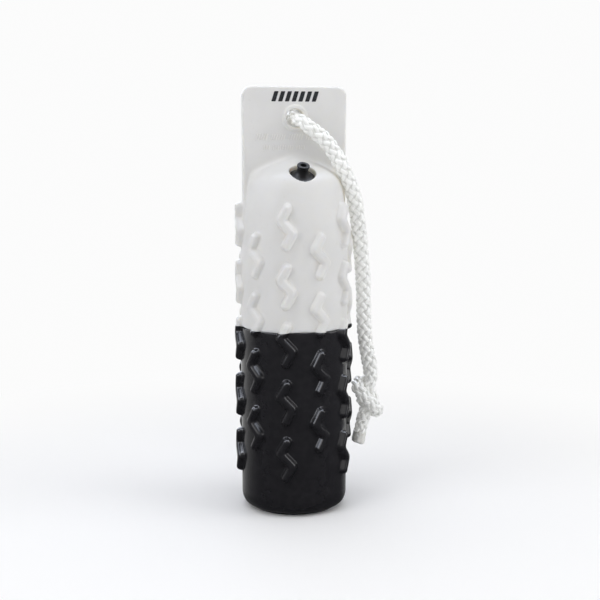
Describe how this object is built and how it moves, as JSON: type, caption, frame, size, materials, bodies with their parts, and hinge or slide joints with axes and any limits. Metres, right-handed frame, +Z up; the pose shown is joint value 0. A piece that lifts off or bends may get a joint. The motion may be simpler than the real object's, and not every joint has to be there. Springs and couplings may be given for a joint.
{
  "type": "dog training bumper",
  "caption": "Soft hollow cylinder for retrieving practice, with zigzag grip bars, a flat throwing tab, an inflation valve and a knotted throw rope.",
  "frame": {"origin": "centre of the flat foot that the bumper stands on", "axes": "+Z up along the bumper's axis towards the throwing tab, the tab lies in the XZ plane, and the inflation valve faces -Y"},
  "size_m": [0.1128, 0.094, 0.305],
  "materials": {
    "white_vinyl": "matte",
    "black_vinyl": "satin",
    "valve_rubber": "satin",
    "rope_cord": "matte"
  },
  "bodies": {
    "bumper": {"body_shell": "white_vinyl", "dipped_coat": "black_vinyl", "valve_seat": "valve_rubber", "valve_plug": "valve_rubber"},
    "rope_neck": {"rope_neck": "rope_cord", "stopper_knot": "rope_cord", "rope_back_end": "rope_cord"},
    "rope_link_01": {"rope_link_01": "rope_cord"},
    "rope_link_02": {"rope_link_02": "rope_cord"},
    "rope_link_03": {"rope_link_03": "rope_cord"},
    "rope_link_04": {"rope_link_04": "rope_cord"},
    "rope_link_05": {"rope_link_05": "rope_cord"},
    "rope_link_06": {"rope_link_06": "rope_cord"},
    "rope_link_07": {"rope_link_07": "rope_cord"},
    "rope_link_08": {"rope_link_08": "rope_cord"},
    "rope_link_09": {"rope_link_09": "rope_cord", "end_knot": "rope_cord"},
    "rope_tail": {"rope_tail": "rope_cord", "rope_tip": "rope_cord"}
  },
  "joints": [
    {"name": "rope_pull", "type": "slide", "parent": "bumper", "child": "rope_neck", "axis": [0, -1, 0], "range_m": [0, 0.008]},
    {"name": "rope_swing", "type": "hinge", "parent": "rope_neck", "child": "rope_link_01", "pos_m": [0, -0.0108, 0.2828], "axis": [0, -1, 0], "range_deg": [0, 150]},
    {"name": "rope_lift", "type": "hinge", "parent": "rope_link_01", "child": "rope_link_02", "pos_m": [0.0176, -0.0132, 0.2688], "axis": [-0.8042, 0, -0.5944], "range_deg": [0, 75], "stiffness_Nm_per_rad": 0.004},
    {"name": "rope_bend_1", "type": "hinge", "parent": "rope_link_02", "child": "rope_link_03", "pos_m": [0.0312, -0.0134, 0.2504], "axis": [0, -1, 0], "range_deg": [0, 30], "stiffness_Nm_per_rad": 0.004},
    {"name": "rope_bend_2", "type": "hinge", "parent": "rope_link_03", "child": "rope_link_04", "pos_m": [0.0414, -0.0099, 0.2298], "axis": [-0.9603, 0, -0.2788], "range_deg": [-25, 30], "stiffness_Nm_per_rad": 0.004},
    {"name": "rope_bend_3", "type": "hinge", "parent": "rope_link_04", "child": "rope_link_05", "pos_m": [0.0477, -0.0046, 0.2081], "axis": [0, -1, 0], "range_deg": [0, 30], "stiffness_Nm_per_rad": 0.004},
    {"name": "rope_bend_4", "type": "hinge", "parent": "rope_link_05", "child": "rope_link_06", "pos_m": [0.0508, -0.0006, 0.1858], "axis": [-0.9981, 0, -0.0613], "range_deg": [-25, 30], "stiffness_Nm_per_rad": 0.004},
    {"name": "rope_bend_5", "type": "hinge", "parent": "rope_link_06", "child": "rope_link_07", "pos_m": [0.0522, 0.0012, 0.163], "axis": [0, -1, 0], "range_deg": [0, 30], "stiffness_Nm_per_rad": 0.004},
    {"name": "rope_bend_6", "type": "hinge", "parent": "rope_link_07", "child": "rope_link_08", "pos_m": [0.0534, 0.0017, 0.1403], "axis": [-0.9958, 0, -0.0913], "range_deg": [-25, 30], "stiffness_Nm_per_rad": 0.004},
    {"name": "rope_bend_7", "type": "hinge", "parent": "rope_link_08", "child": "rope_link_09", "pos_m": [0.0555, 0.0021, 0.1174], "axis": [0, -1, 0], "range_deg": [0, 30], "stiffness_Nm_per_rad": 0.004},
    {"name": "rope_tail_bend", "type": "hinge", "parent": "rope_link_09", "child": "rope_tail", "pos_m": [0.0546, 0.0042, 0.06], "axis": [0, -1, 0], "range_deg": [-5, 35], "stiffness_Nm_per_rad": 0.004}
  ]
}
